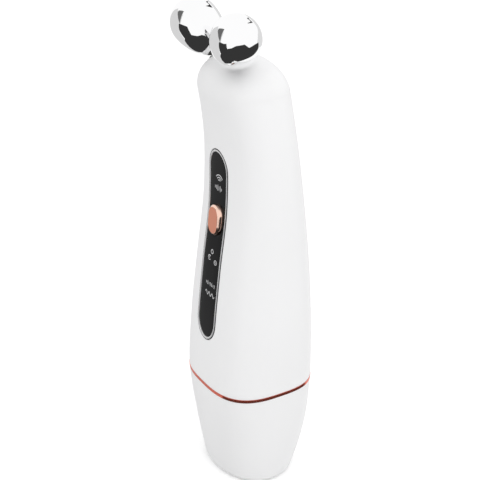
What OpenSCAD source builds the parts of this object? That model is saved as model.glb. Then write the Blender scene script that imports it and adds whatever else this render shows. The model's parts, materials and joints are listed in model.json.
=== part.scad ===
// Handheld facial toning device: a leaning casing on a cup-shaped foot, with two
// free-rolling metal rollers on a V of axles, one push button and a vibration motor.
// Origin: centre of the foot's underside. +Z up, -Y the side of the button and panel.

/* [Outline heights] */
// Height of the middle of the cup
cup_z = 20; // [17:0.5:23]
// Height of the hem, where the cup meets the casing
hem_z = 41; // [38:0.5:44]
// Height of the widest place, the belly
belly_z = 65; // [62:0.5:68]
// Height of the grip
grip_z = 90; // [87:0.5:93]
// Height of the waist
waist_z = 115; // [112:0.5:118]
// Height of the neck
neck_z = 140; // [138:0.5:142]
// Height at which the crown starts
shoulder_z = 155; // [153:0.5:157]
// Height of the crown's top
crown_z = 168.6; // [167:0.1:169]

/* [Outline front] */
// Front of the foot from the axis
foot_front = 15.8; // [15:0.1:16.6]
// Front of the cup
cup_front = 18.7; // [18:0.1:19.6]
// Front of the hem
hem_front = 20.6; // [20:0.1:21.4]
// Front of the belly
belly_front = 19; // [18.4:0.1:19.8]
// Front of the grip
grip_front = 16.4; // [15.8:0.1:17.2]
// Front of the waist
waist_front = 13.3; // [12.8:0.1:14]
// Front of the neck
neck_front = 13.7; // [13.2:0.1:14.4]
// Front of the shoulder
shoulder_front = 16.5; // [16:0.1:17.2]

/* [Outline back] */
// Back of the foot from the axis
foot_back = 15.2; // [14.4:0.1:16]
// Back of the cup
cup_back = 20.3; // [19.6:0.1:21]
// Back of the hem
hem_back = 21.3; // [20.6:0.1:22]
// Back of the belly
belly_back = 20.7; // [20:0.1:21.4]
// Back of the grip
grip_back = 19.5; // [18.8:0.1:20.2]
// Back of the waist
waist_back = 16.7; // [16.2:0.1:17.5]
// Back of the neck
neck_back = 13.5; // [13:0.1:14.2]
// Back of the shoulder
shoulder_back = 11.6; // [11.2:0.1:12.4]

/* [Outline half widths] */
// Half width of the foot
foot_half = 20; // [19.2:0.1:20.8]
// Half width of the cup
cup_half = 22; // [21.2:0.1:22.8]
// Half width of the hem
hem_half = 22.8; // [22:0.1:23.6]
// Half width of the belly
belly_half = 23; // [22.4:0.1:23.8]
// Half width of the grip
grip_half = 21.3; // [20.6:0.1:22]
// Half width of the waist
waist_half = 20; // [19.2:0.1:20.8]
// Half width of the neck
neck_half = 18.2; // [17.6:0.1:18.8]
// Half width of the shoulder
shoulder_half = 16.3; // [15.8:0.1:16.8]
// Squareness of the cross section, 2 is an ellipse
squareness = 2.9; // [2.6:0.1:3.2]
// Squareness at the foot, from which it rises up to the hem
foot_squareness = 2.1; // [2:0.1:2.6]

/* [Walls and hem] */
// Wall of the casing and of the cup
wall = 2.4; // [2.2:0.1:2.6]
// Height of the bare metal trim ring
ring_h = 1.2; // [1:0.1:1.6]
// How far the trim ring stands proud
ring_proud = 0.1; // [0:0.05:0.2]
// Height of the cup's lip inside the casing
lip_h = 4.4; // [3.5:0.1:5.5]
// Radial thickness of the lip
lip_t = 1.1; // [0.9:0.1:1.2]
// Thickness of the flat seal on the lip
seal_t = 0.5; // [0.4:0.1:0.8]
// Gap between the lip and the casing
slip_gap = 0.15; // [0.1:0.05:0.25]
// Inset of the rounded edge at the foot
foot_round = 1.6; // [1.4:0.1:2.2]
// Height of the rounded edge at the foot
foot_round_h = 1.4; // [1.2:0.1:2]

/* [Foot pad] */
// Thickness of the pad
pad_t = 1.2; // [1:0.1:1.6]
// How far the pad stands below the cup
pad_proud = 0.4; // [0.3:0.1:0.6]
// Bare edge of the cup around the pad
pad_margin = 0.8; // [0.5:0.1:1.5]

/* [Rollers] */
// Diameter of each roller
roller_d = 17.4; // [16.6:0.1:18]
// Distance between the rollers' centres
roller_pitch = 27.8; // [27:0.1:28.8]
// How far the rollers' centres lie in front of the axis
roller_front = 13.7; // [13.2:0.1:14.2]
// Height of the rollers' centres
roller_z = 177.2; // [176.8:0.1:178.2]
// Half of the angle between the two axles
v_angle = 39.5; // [38:0.5:41]
// Forward lean of the plane of the two axles
head_lean = 29.4; // [28:0.2:31]
// Length of the egg-shaped side that faces the neck, as far as its point would reach
roller_len = 13.3; // [12.4:0.1:13.6]
// Wall of the roller's metal shell
roller_wall = 0.8; // [0.7:0.1:1.2]
// Diameter of the core that fills the roller's mouth
core_d = 8.4; // [8:0.1:8.8]
// Diameter of the axle
axle_d = 3; // [2.8:0.1:3.2]
// Running clearance of the bush on the axle, on the radius
bush_play = 0.03; // [0.02:0.01:0.06]
// Outer diameter of the bush
bush_d = 5.2; // [5:0.1:5.6]
// Length of the bush
bush_len = 6.5; // [5.5:0.1:6.8]
// Thickness of the thrust washer
washer_t = 0.5; // [0.4:0.1:0.6]
// Play of the roller along its axle
end_play = 0.11; // [0.08:0.01:0.15]
// Diameter of the neck at its tip
neck_tip_d = 6; // [5.8:0.1:6.6]
// Diameter of the neck where it leaves the crown
neck_root_d = 7.2; // [6.8:0.1:8]
// Outer diameter of the threaded insert in the neck
insert_d = 4.4; // [4.2:0.1:4.8]
// Length of the insert
insert_len = 6.1; // [5.6:0.1:6.2]

/* [Panel] */
// Height of the panel's middle
panel_z = 97.5; // [96:0.5:99]
// Length of the glossy panel
panel_len = 72.6; // [70:0.2:75]
// Width of the glossy panel
panel_w = 11; // [10.4:0.1:11.6]
// Length of the panel's rounded ends
panel_end = 6.8; // [5.6:0.1:8]
// Thickness of the panel
panel_t = 1.2; // [1:0.1:1.3]
// Thickness of the adhesive under the panel
tape_t = 0.3; // [0.2:0.05:0.4]
// How deep the panel lies below the casing's surface
panel_sink = 0.15; // [0.1:0.05:0.2]
// Width of the bezel around the panel
bezel_w = 0.8; // [0.6:0.1:1]
// Groove between the bezel and the casing
groove_w = 0.35; // [0.25:0.05:0.5]

/* [Button] */
// Height of the button's middle
button_z = 108; // [106:0.5:110]
// Width of the button
button_w = 7.6; // [7.2:0.1:8.2]
// Length of the button
button_len = 11.4; // [10.8:0.1:12.2]
// How far the button stands out of the casing's surface
button_proud = 1.5; // [1:0.1:1.8]
// Chamfer on the button's rim
button_chamfer = 0.7; // [0.4:0.1:0.8]
// Gap around the button
button_gap = 0.15; // [0.12:0.01:0.2]
// Travel of the button
button_travel = 0.5; // [0.3:0.1:0.6]
// Inward tilt of the panel and the circuit board, in degrees
panel_tilt = 5; // [4:0.5:6]

/* [Circuit board] */
// Width of the circuit board
board_w = 15; // [14:0.5:16]
// Board's top above the button's middle
board_up = 21; // [20:0.5:22]
// Board's bottom below the button's middle
board_down = 42; // [38:0.5:44]
// Thickness of the circuit boards
board_t = 1.6; // [1.2:0.1:1.8]
// Depth of the board's front below the casing's surface
board_depth = 8.7; // [8.5:0.1:9]
// Side of the square push switch
switch_side = 6; // [5.5:0.1:6.4]
// Height of the push switch's body
switch_h = 3.5; // [3.2:0.1:3.7]
// Diameter of the switch's plunger
plunger_d = 3.4; // [3:0.1:3.6]
// Diameter of each light guide
guide_d = 2.4; // [2:0.1:2.6]

/* [Battery] */
// Diameter of the cell
cell_d = 14.2; // [13.8:0.1:14.6]
// Length of the cell
cell_len = 50; // [46:0.5:51]
// Height of the cell's lower end
cell_z = 50; // [49.5:0.5:52]
// How far behind the axis the cell lies
cell_back = 7.2; // [7:0.1:7.8]

/* [Vibration motor] */
// Diameter of the motor's can
motor_d = 11; // [10:0.1:11.4]
// Length of the motor's can
motor_len = 15; // [13:0.5:16]
// Height of the motor's axis
motor_z = 143; // [142:0.5:144]
// Diameter of the motor's shaft
shaft_d = 1.5; // [1.2:0.1:2]
// Radius of the eccentric weight
weight_r = 4.8; // [4:0.1:5]
// Length of the eccentric weight
weight_len = 5; // [4:0.5:5.5]
// Thickness of the rubber sleeve around the motor
boot_t = 0.8; // [0.6:0.1:1]
// Length of the rubber sleeve
boot_len = 9; // [7:0.5:11]
// Length of the cradle that the motor lies in
cradle_len = 11; // [9:0.5:12]
// Width of the clamp over the motor
clamp_len = 6; // [4:0.5:8]

/* [Charging port] */
// Height of the charging socket's middle
port_z = 13; // [12:0.5:14]
// Width of the socket's mouth
port_w = 8.9; // [8.6:0.1:9.2]
// Height of the socket's mouth
port_h = 3.2; // [3:0.1:3.4]
// Depth of the socket
port_len = 7.4; // [6.8:0.1:8]
// Width of the board that carries the socket
charge_board_w = 14; // [13:0.5:16]
// Width of the tongue in the socket
tongue_w = 6.6; // [6:0.1:7]
// Thickness of the tongue
tongue_t = 0.7; // [0.6:0.1:0.9]

/* [Screws] */
// Diameter of the screws' shanks
screw_d = 2; // [1.8:0.1:2.2]
// Diameter of the screws' heads
head_d = 3.6; // [3.4:0.1:4]
// Thickness of the screws' heads
head_t = 1.2; // [1:0.1:1.4]
// Distance of the foot screws from the middle
foot_screw_x = 10; // [9:0.5:11]
// Diameter of the chassis legs and bosses
leg_d = 6; // [5.4:0.1:6.4]

/* [Hidden] */
$fn = 64;

// Outline stations from the foot up. Front values are negative, towards -Y.
heights = [0, cup_z, hem_z, belly_z, grip_z, waist_z, neck_z, shoulder_z];
fronts = -1 * [foot_front, cup_front, hem_front, belly_front, grip_front, waist_front,
    neck_front, shoulder_front];
backs = [foot_back, cup_back, hem_back, belly_back, grip_back, waist_back, neck_back,
    shoulder_back];
halves = [foot_half, cup_half, hem_half, belly_half, grip_half, waist_half, neck_half,
    shoulder_half];
last = len(heights) - 1;
// Share of the shoulder's lean that goes on into the crown
crown_lean = 0.72;
// Points around a section, and rings in the crown
around = 56;
crown_rings = 9;
// Height between rings, on the outside and on the inside
ring_step = 5;
inner_step = 6;
tiny = 0.05;

// A quantity of the outline at height z: a cubic through the stations, with the slope
// at each one taken from the parabola through it and its neighbours.
function rise(v, i) = (v[i + 1] - v[i]) / (heights[i + 1] - heights[i]);
function mid_slope(v, i) =
    let (before = heights[i] - heights[i - 1], after = heights[i + 1] - heights[i])
    (after * rise(v, i - 1) + before * rise(v, i)) / (before + after);
function slope(v, i) =
    i == 0 ? 2 * rise(v, 0) - mid_slope(v, 1)
    : i == last ? 2 * rise(v, last - 1) - mid_slope(v, last - 1)
    : mid_slope(v, i);
function station(z) = max([for (i = [0:last - 1]) z >= heights[i] ? i : 0]);
function along(v, z) =
    let (i = station(z), h = heights[i + 1] - heights[i], t = (z - heights[i]) / h)
    (1 + 2 * t) * pow(1 - t, 2) * v[i] + t * pow(1 - t, 2) * h * slope(v, i)
    + t * t * (3 - 2 * t) * v[i + 1] + t * t * (t - 1) * h * slope(v, i + 1);

// Centre, half depth and half width of the section at height z, set in by inset.
// Above the shoulder the section shrinks as a quarter ellipse.
function crown_share(z, inset) =
    z <= shoulder_z ? 1
    : sqrt(max(0, 1 - pow((z - shoulder_z) / (crown_z - inset - shoulder_z), 2)));
function middle(z) =
    let (zs = min(z, shoulder_z), lean = (slope(fronts, last) + slope(backs, last)) / 2)
    (along(fronts, zs) + along(backs, zs)) / 2 + crown_lean * lean * (z - zs);
function half_depth(z, inset) =
    let (zs = min(z, shoulder_z))
    ((along(backs, zs) - along(fronts, zs)) / 2 - inset) * crown_share(z, inset);
function half_width(z, inset) =
    (along(halves, min(z, shoulder_z)) - inset) * crown_share(z, inset);

// Squareness at height z: it rises from the foot to the hem and stays the same above
function power(z) =
    squareness - (squareness - foot_squareness) * (1 - min(1, max(0, z / hem_z)));

// The casing's front surface: Y at a place across the width and a height
function front_y(x, z, inset = 0) =
    middle(z) - half_depth(z, inset)
    * pow(max(0, 1 - pow(abs(x) / half_width(z, inset), power(z))), 1 / power(z));
function back_y(z, inset = 0) = middle(z) + half_depth(z, inset);

// One closed section: a squared ellipse at height z. lift draws it at another height.
function squared(t, n) = sign(t) * pow(abs(t), 2 / n);
function section(z, inset, lift = 0) = [
    for (i = [0:around - 1])
        let (a = 360 * i / around)
        [half_width(z, inset) * squared(cos(a), power(z)),
            middle(z) + half_depth(z, inset) * squared(sin(a), power(z)), z + lift]
];

// Solid through a list of rings, closed at both ends, or joined end to end when looped
module loft(rings, looped = false) {
    n = len(rings[0]);
    m = len(rings);
    steps = looped ? m - 1 : m - 2;
    sides = [
        for (j = [0:steps], i = [0:n - 1])
            let (a = j * n + i, b = j * n + (i + 1) % n, up = (j + 1) % m)
            each [[a, up * n + i, up * n + (i + 1) % n], [a, up * n + (i + 1) % n, b]]
    ];
    end = (m - 1) * n;
    ends = looped ? [] : [
        for (i = [0:n / 2 - 2])
            let (a = i, b = i + 1, c = n - 2 - i, d = n - 1 - i)
            each [[a, b, c, d], [end + d, end + c, end + b, end + a]]
    ];
    polyhedron(points = [for (r = rings) each r], faces = concat(sides, ends),
        convexity = 8);
}

// Heights of the rings from z0 to z1, at most gap apart
function levels(z0, z1, gap) =
    let (n = ceil((z1 - z0) / gap))
    [for (i = [0:n]) z0 + (z1 - z0) * i / n];
// Heights of the rings in the crown, closer together towards its top
function crown_levels(inset) = [
    for (i = [1:crown_rings])
        shoulder_z + (crown_z - inset - shoulder_z) * sin(88 * i / crown_rings)
];

// Outline of the long slot that the panel fills, widened by off: half width at height z
function slot_half(z, off) =
    let (straight = panel_len / 2 - panel_end, over = abs(z - panel_z) - straight)
    (panel_w / 2 + off)
    * (over <= 0 ? 1 : sqrt(max(0, 1 - pow(over / (panel_end + off), 2))));
function slot_levels(off) =
    let (straight = panel_len / 2 - panel_end, tall = panel_end + off)
    concat(
        [for (a = [86:-10:6]) panel_z - straight - tall * sin(a)],
        levels(panel_z - straight, panel_z + straight, 6.2),
        [for (a = [6:10:86]) panel_z + straight + tall * sin(a)]);
// Slab over the slot that follows the front surface, from depth d0 to depth d1
slab_steps = 6;
module slab(off, d0, d1) {
    loft([
        for (z = slot_levels(off))
            let (h = slot_half(z, off))
            concat(
                [for (i = [0:slab_steps])
                    let (x = h * (2 * i / slab_steps - 1)) [x, front_y(x, z) + d0, z]],
                [for (i = [slab_steps:-1:0])
                    let (x = h * (2 * i / slab_steps - 1)) [x, front_y(x, z) + d1, z]])
    ]);
}
// Closed line around the slot, widened by off and lying at a depth below the surface
function slot_line(off, depth) =
    let (straight = panel_len / 2 - panel_end, side = levels(-straight, straight, 6.2),
        w = panel_w / 2 + off, tall = panel_end + off,
        flat = concat(
            [for (s = side) [w, s]],
            [for (a = [15:15:165]) [w * cos(a), straight + tall * sin(a)]],
            [for (s = side) [-w, -s]],
            [for (a = [195:15:345]) [w * cos(a), -straight + tall * sin(a)]]))
    [for (p = flat) [p[0], front_y(p[0], panel_z + p[1]) + depth, panel_z + p[1]]];

// Frame of the button: its origin on the casing's surface, +Y straight in
button_y = front_y(0, button_z);
module in_button_frame() {
    translate([0, button_y, button_z]) rotate([-panel_tilt, 0, 0]) children();
}
// Y of a plane at a depth in the button's frame, at height z
function plane_y(depth, z) =
    button_y + tan(panel_tilt) * (z - button_z) + depth / cos(panel_tilt);

// Straight-sided shape with round ends, standing up, from y0 to y1
module pill_outline(w, len) {
    square([w, len - w], center = true);
    for (s = [-1, 1]) translate([0, s * (len - w) / 2]) circle(d = w);
}
module pill(w, len, y0, y1) {
    translate([0, y1, 0]) rotate([90, 0, 0])
        linear_extrude(height = y1 - y0) pill_outline(w, len);
}
// Round bar along Y
module bar_y(d, x, z, y0, y1) {
    translate([x, y0, z]) rotate([-90, 0, 0]) cylinder(d = d, h = y1 - y0);
}
module block(x0, x1, y0, y1, z0, z1) {
    translate([x0, y0, z0]) cube([x1 - x0, y1 - y0, z1 - z0]);
}

// Round wire along a smooth line through its points, with flat ends
wire_d = 0.9;
wire_sides = 8;
wire_steps = 3;
function smooth(p, i, t) =
    let (a = p[max(i - 1, 0)], b = p[i], c = p[i + 1], d = p[min(i + 2, len(p) - 1)])
    0.5 * (2 * b + (c - a) * t + (2 * a - 5 * b + 4 * c - d) * t * t
        + (3 * b - a - 3 * c + d) * t * t * t);
function unit(v) = v / norm(v);
module wire(p) {
    line = concat(
        [for (i = [0:len(p) - 2], s = [0:wire_steps - 1]) smooth(p, i, s / wire_steps)],
        [p[len(p) - 1]]);
    n = len(line);
    loft([
        for (i = [0:n - 1])
            let (t = unit(line[min(i + 1, n - 1)] - line[max(i - 1, 0)]),
                u = unit(cross([0, 1, 0.01], t)), v = cross(t, u))
            [for (k = [0:wire_sides - 1])
                let (a = 360 * k / wire_sides)
                line[i] + wire_d / 2 * (cos(a) * u + sin(a) * v)]
    ]);
}
function mirror_x(p) = [for (q = p) [-q[0], q[1], q[2]]];

// ---- Casing, cup and what joins them ----
cup_top = hem_z - ring_h / 2;
casing_foot = hem_z + ring_h / 2;
lip_top = casing_foot + lip_h;
step_z = lip_top + seal_t;
lip_inset = wall - lip_t;
floor_top = pad_proud + 3.4;
pocket_depth = panel_sink + panel_t + tape_t;
bezel_gap = 0.05;
// Clearance under pieces that follow the casing's curve in steps of their own
seat_gap = 0.03;
hole_w = button_w + 2 * button_gap;
hole_len = button_len + 2 * button_gap;
guide_hole_d = guide_d + 0.2;
// Places of the four light windows: across and up
lights = [[0.5, 124], [-1.6, 93.5], [2.4, 92], [1, 80]];
port_shell = 0.3;
port_gap = 0.15;

// Places along a roller's axle, measured from the roller's centre towards the neck
roller_r = roller_d / 2;
function flank_s(r, len, stop) = len * sqrt(1 - pow(stop / r, 2));
mouth_s = flank_s(roller_r, roller_len, core_d / 2);
nose_d = 6.6;
nose_s = flank_s(roller_r, roller_len, nose_d / 2);
washer_s = nose_s + end_play;
neck_s = washer_s + washer_t;
insert_s = neck_s + insert_len;
neck_root_s = insert_s + 1;
bush_s0 = nose_s - 0.3 - bush_len;
clip_t = 0.5;
clip_s = bush_s0 - 0.1 - clip_t;
core_end_s = -(roller_r - roller_wall) + 1.3;
cavity_end_s = clip_s - 4.6;

// Frame of a roller: origin at its centre, +Z out along its axle. side is -1 or 1.
module on_axle(side) {
    translate([side * roller_pitch / 2, -roller_front, roller_z])
        rotate([head_lean, 0, 0]) rotate([0, side * v_angle, 0]) children();
}
// Round bar on the axle, from s0 to s1 towards the neck
module on_axle_bar(side, d0, d1, s0, s1) {
    on_axle(side) translate([0, 0, -s1]) cylinder(d1 = d1, d2 = d0, h = s1 - s0);
}
// Point on the right roller's axle line at s from the roller's centre
function axle_point(s) = [
    roller_pitch / 2 - s * sin(v_angle),
    -roller_front + s * cos(v_angle) * sin(head_lean),
    roller_z - s * cos(v_angle) * cos(head_lean)
];

// Room inside the crown where the electrode leads reach the inserts
pocket_d = 7.2;
pocket_y = -7.6;
pocket_top = axle_point(insert_s)[2] - insert_d / 4;

module casing() {
    rebate = lip_inset - slip_gap;
    inner = concat([for (z = levels(step_z, shoulder_z, inner_step)) section(z, wall)],
        [for (z = crown_levels(wall)) section(z, wall)]);
    outer = concat([for (z = levels(casing_foot, shoulder_z, ring_step)) section(z, 0)],
        [for (z = crown_levels(0)) section(z, 0)]);
    rim = [section(step_z, rebate), section(casing_foot, rebate)];
    color("whitesmoke") difference() {
        union() {
            loft(concat([for (i = [len(inner) - 1:-1:0]) inner[i]], rim, outer));
            for (side = [-1, 1])
                on_axle_bar(side, neck_tip_d, neck_root_d, neck_s, neck_root_s);
        }
        slab(bezel_gap + bezel_w + groove_w, -1.5, pocket_depth);
        in_button_frame() pill(hole_w, hole_len, 0, wall + 2);
        for (p = lights)
            bar_y(guide_hole_d, p[0], p[1], front_y(p[0], p[1]), front_y(p[0], p[1]) + 4);
        for (side = [-1, 1])
            on_axle_bar(side, insert_d, insert_d, neck_s - 1, insert_s);
        translate([0, pocket_y, shoulder_z]) cylinder(d = pocket_d, h = pocket_top - shoulder_z);
    }
}

board_boss_x = 4.5;
board_boss_y = 6;
port_y = back_y(port_z) - 1;
charge_board_top = port_z - port_h / 2 - port_shell;
charge_board_z = charge_board_top - board_t;

module base_cup() {
    edge = [for (i = [0:6]) pad_proud + foot_round_h * (1 - cos(15 * i))];
    inner = levels(floor_top, cup_top, inner_step);
    color("whitesmoke") difference() {
        union() {
            loft(concat(
                [for (z = edge) section(z, foot_round
                    * (1 - sqrt(1 - pow(1 - (z - pad_proud) / foot_round_h, 2))))],
                [for (z = levels(pad_proud + foot_round_h + 2, cup_top, ring_step)) section(z, 0)],
                [section(cup_top, lip_inset), section(lip_top, lip_inset),
                    section(lip_top, wall)],
                [for (i = [len(inner) - 1:-1:0]) section(inner[i], wall)]));
            for (s = [-1, 1])
                translate([s * board_boss_x, board_boss_y, floor_top - 1])
                    cylinder(d = 4, h = charge_board_z - floor_top + 1);
        }
        loft([for (z = [pad_proud - 1, pad_t]) section(0, foot_round + pad_margin, z)]);
        for (s = [-1, 1]) translate([s * foot_screw_x, 0, 0]) {
            translate([0, 0, pad_t - tiny]) cylinder(d = head_d + 0.4, h = head_t + 0.2);
            cylinder(d = screw_d + 0.4, h = floor_top + 1);
        }
        for (s = [-1, 1])
            translate([s * board_boss_x, board_boss_y, floor_top])
                cylinder(d = screw_d, h = charge_board_z);
        translate([0, back_y(port_z) - 5, port_z]) rotate([0, 90, 0])
            pill(port_h + 2 * (port_shell + port_gap), port_w + 2 * (port_shell + port_gap),
                0, 10);
    }
}

module trim_ring() {
    z0 = cup_top;
    z1 = casing_foot;
    bow = [[0, 0], [0.25, 0.8], [0.5, 1], [0.75, 0.8], [1, 0]];
    color("darksalmon") loft(concat(
        [for (b = bow) section(z0 + b[0] * ring_h, -ring_proud * b[1])],
        [section(z1, lip_inset - tiny), section(z0, lip_inset - tiny)]), looped = true);
}

module lip_seal() {
    color("dimgray") loft([
        section(lip_top, lip_inset + 0.1), section(step_z, lip_inset + 0.1),
        section(step_z, wall - 0.1), section(lip_top, wall - 0.1)
    ], looped = true);
}

module foot_pad() {
    inset = foot_round + pad_margin + 0.1;
    color("gainsboro") loft([for (z = [0, pad_t]) section(0, inset, z)]);
}

// Pan-head screw pointing up, with the underside of its head at z
module screw_up(z, len) {
    translate([0, 0, z - head_t]) cylinder(d = head_d, h = head_t);
    translate([0, 0, z - tiny]) cylinder(d = screw_d, h = len);
}
foot_screw_len = 10;
module foot_screws() {
    color("silver") for (s = [-1, 1])
        translate([s * foot_screw_x, 0, 0])
            screw_up(pad_t + head_t + 0.15, foot_screw_len);
}

// ---- Panel and button ----
module panel() {
    color([0.05, 0.05, 0.06]) difference() {
        slab(0, panel_sink, panel_sink + panel_t);
        in_button_frame() pill(hole_w, hole_len, -3, 5);
    }
}

module panel_tape() {
    color([0.2, 0.2, 0.2]) difference() {
        slab(0, panel_sink + panel_t, pocket_depth - seat_gap);
        in_button_frame() pill(hole_w, hole_len, -3, 5);
        for (p = lights)
            bar_y(guide_hole_d, p[0], p[1], front_y(p[0], p[1]), front_y(p[0], p[1]) + 4);
    }
}

module panel_bezel() {
    w0 = bezel_gap;
    w1 = bezel_gap + bezel_w;
    color("silver") loft([
        slot_line(w1, pocket_depth - seat_gap), slot_line(w1, 0.1), slot_line(w1 - 0.25, -0.1),
        slot_line(w0 + 0.25, -0.1), slot_line(w0, 0.1), slot_line(w0, pocket_depth - seat_gap)
    ], looped = true);
}

flange_y = wall + 0.3;
flange_t = 0.8;
switch_y = board_depth - switch_h;
plunger_out = 0.8;
plunger_y = switch_y - plunger_out;
stem_d = 3.2;
module mode_button() {
    rim = 2 * button_chamfer;
    color("darksalmon") in_button_frame() {
        hull() {
            pill(button_w, button_len, button_chamfer - button_proud, button_chamfer);
            pill(button_w - rim, button_len - rim, -button_proud, 0, $fn = 32);
        }
        pill(button_w, button_len, button_chamfer - tiny, flange_y + tiny);
        pill(button_w + 2, button_len + 2, flange_y, flange_y + flange_t);
        bar_y(stem_d, 0, 0, flange_y, plunger_y - tiny);
    }
}

module push_switch() {
    h = switch_side / 2;
    color([0.15, 0.15, 0.15]) in_button_frame() difference() {
        block(-h, h, switch_y, board_depth, -h, h);
        bar_y(plunger_d + 0.2, 0, 0, switch_y - 1, switch_y + 2.4);
    }
}

module switch_plunger() {
    color("darkred") in_button_frame()
        bar_y(plunger_d, 0, 0, plunger_y, switch_y + 1.8);
}

led_h = 0.7;
guide_gap = 0.2;
module light_guides() {
    color([0.9, 0.95, 1, 0.6]) for (p = lights)
        bar_y(guide_d, p[0], p[1], front_y(p[0], p[1]) + panel_sink + panel_t + guide_gap,
            plane_y(board_depth - led_h - 0.2, p[1]));
}

// Place up the board, in the button's frame, of a point at height z on the board's front
function up_board(z) =
    (z - button_z + board_depth * sin(panel_tilt)) / cos(panel_tilt);
module indicator_lights() {
    color("ivory") in_button_frame() for (p = lights)
        block(p[0] - 1, p[0] + 1, board_depth - led_h, board_depth,
            up_board(p[1]) - 0.8, up_board(p[1]) + 0.8);
}

// ---- Circuit board and chassis ----
board_screw_x = 5.5;
board_screws_up = [9, -36];
boss_len = 1.6;
plate_y = board_depth + board_t + boss_len;
plate_t = 1.5;
plate_half = 9;
module circuit_board() {
    color("darkgreen") in_button_frame() difference() {
        block(-board_w / 2, board_w / 2, board_depth, board_depth + board_t,
            -board_down, board_up);
        for (x = [-1, 1], z = board_screws_up)
            bar_y(screw_d + 0.2, x * board_screw_x, z, board_depth - 1, plate_y);
    }
}

module board_screws() {
    color("silver") in_button_frame() for (x = [-1, 1], z = board_screws_up) {
        bar_y(head_d, x * board_screw_x, z, board_depth - head_t, board_depth);
        bar_y(screw_d, x * board_screw_x, z, board_depth - tiny, plate_y + plate_t);
    }
}

flange_z = lip_top - 2.4;
flange_h = 2;
cell_gap = 0.05;
cell_tip = 1;
saddle_h = 4;
cradle_z = motor_z - 9;
boot_d = motor_d + 2 * boot_t;
cradle_half = boot_d / 2 + 1.2;
motor_x = -2;
leads_gap_y = -10.5;
module chassis() {
    color("lightgray") difference() {
        union() {
            in_button_frame() {
                block(-plate_half, plate_half, plate_y, plate_y + plate_t,
                    flange_z - button_z + 2, cradle_z - button_z + 2);
                for (x = [-1, 1], z = board_screws_up)
                    bar_y(4, x * board_screw_x, z, plate_y - boss_len, plate_y + tiny);
            }
            loft([for (z = [flange_z, flange_z + flange_h]) section(z, wall + 0.3)]);
            for (s = [-1, 1]) translate([s * foot_screw_x, 0, floor_top + tiny])
                cylinder(d = leg_d, h = flange_z - floor_top);
            for (z = [cell_z + 6, cell_z + cell_len - 6 - saddle_h])
                block(-plate_half, plate_half, plane_y(plate_y + 0.3, z), cell_back + 2,
                    z, z + saddle_h);
            block(-cell_d / 2, cell_d / 2, plane_y(plate_y + 0.3, cell_z), cell_back - 3,
                cell_z - 2, cell_z);
            block(motor_x - cradle_len / 2, motor_x + cradle_len / 2,
                -cradle_half, cradle_half, cradle_z, motor_z);
        }
        translate([0, cell_back, cell_z])
            cylinder(d = cell_d + 2 * cell_gap, h = cell_len + 10);
        translate([motor_x - 10, 0, motor_z]) rotate([0, 90, 0])
            cylinder(d = boot_d + 2 * tiny, h = 20);
        translate([0, leads_gap_y, flange_z - 1]) cylinder(d = 7, h = flange_h + 3);
        for (s = [-1, 1]) translate([s * foot_screw_x, 0, floor_top])
            cylinder(d = screw_d, h = foot_screw_len);
        in_button_frame() for (x = [-1, 1], z = board_screws_up)
            bar_y(screw_d, x * board_screw_x, z, board_depth, plate_y + plate_t + 1);
    }
}

module battery_cell() {
    color("steelblue") translate([0, cell_back, cell_z]) {
        cylinder(d = cell_d, h = cell_len);
        cylinder(d = 5.5, h = cell_len + cell_tip);
    }
}

module charge_board() {
    color("darkgreen") difference() {
        block(-charge_board_w / 2, charge_board_w / 2, board_boss_y - head_d / 2 - 0.4,
            port_y - port_len / 2, charge_board_z, charge_board_top);
        for (s = [-1, 1]) translate([s * board_boss_x, board_boss_y, 0])
            cylinder(d = screw_d + 0.2, h = port_z);
    }
}

module charge_board_screws() {
    color("silver") for (s = [-1, 1])
        translate([s * board_boss_x, board_boss_y, charge_board_top]) mirror([0, 0, 1])
            screw_up(0, 5);
}

module charge_socket() {
    color("silver") translate([0, 0, port_z]) rotate([0, 90, 0]) difference() {
        pill(port_h + 2 * port_shell, port_w + 2 * port_shell, port_y - port_len, port_y);
        pill(port_h, port_w, port_y - port_len + 1, port_y + 1);
    }
}

module socket_tongue() {
    color([0.1, 0.1, 0.1])
        block(-tongue_w / 2, tongue_w / 2, port_y - port_len + 1, port_y - 0.7,
            port_z - tongue_t / 2, port_z + tongue_t / 2);
}

// ---- Vibration motor ----
module bar_x(d, x0, x1) {
    translate([x0, 0, motor_z]) rotate([0, 90, 0]) cylinder(d = d, h = x1 - x0);
}
motor_end = motor_x + motor_len / 2;
shaft_play = 0.04;
module vibration_motor() {
    color("silver") difference() {
        union() {
            bar_x(motor_d, motor_x - motor_len / 2, motor_end);
            bar_x(4, motor_end - tiny, motor_end + 0.6);
        }
        bar_x(shaft_d + 2 * shaft_play, motor_x, motor_end + 1);
    }
}

module motor_boot() {
    color([0.2, 0.2, 0.2]) difference() {
        bar_x(boot_d, motor_x - boot_len / 2, motor_x + boot_len / 2);
        bar_x(motor_d, motor_x - boot_len, motor_x + boot_len);
    }
}

module motor_clamp() {
    color("lightgray") difference() {
        intersection() {
            bar_x(2 * cradle_half, motor_x - clamp_len / 2, motor_x + clamp_len / 2);
            block(-motor_len, motor_len, -motor_d, motor_d, motor_z, motor_z + motor_d);
        }
        bar_x(boot_d + 2 * tiny, motor_x - 10, motor_x + 10);
    }
}

weight_x = motor_end + 0.9;
module motor_shaft() {
    color("gray") bar_x(shaft_d, motor_x + 0.5, weight_x + weight_len + 0.4);
}

module eccentric_weight() {
    color("goldenrod") difference() {
        union() {
            intersection() {
                bar_x(2 * weight_r, weight_x, weight_x + weight_len);
                block(weight_x - 1, weight_x + weight_len + 1, -2 * weight_r, 2 * weight_r,
                    motor_z - 2 * weight_r, motor_z);
            }
            bar_x(shaft_d + 2, weight_x, weight_x + weight_len);
        }
        bar_x(shaft_d, weight_x - 1, weight_x + weight_len + 1);
    }
}

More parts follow.
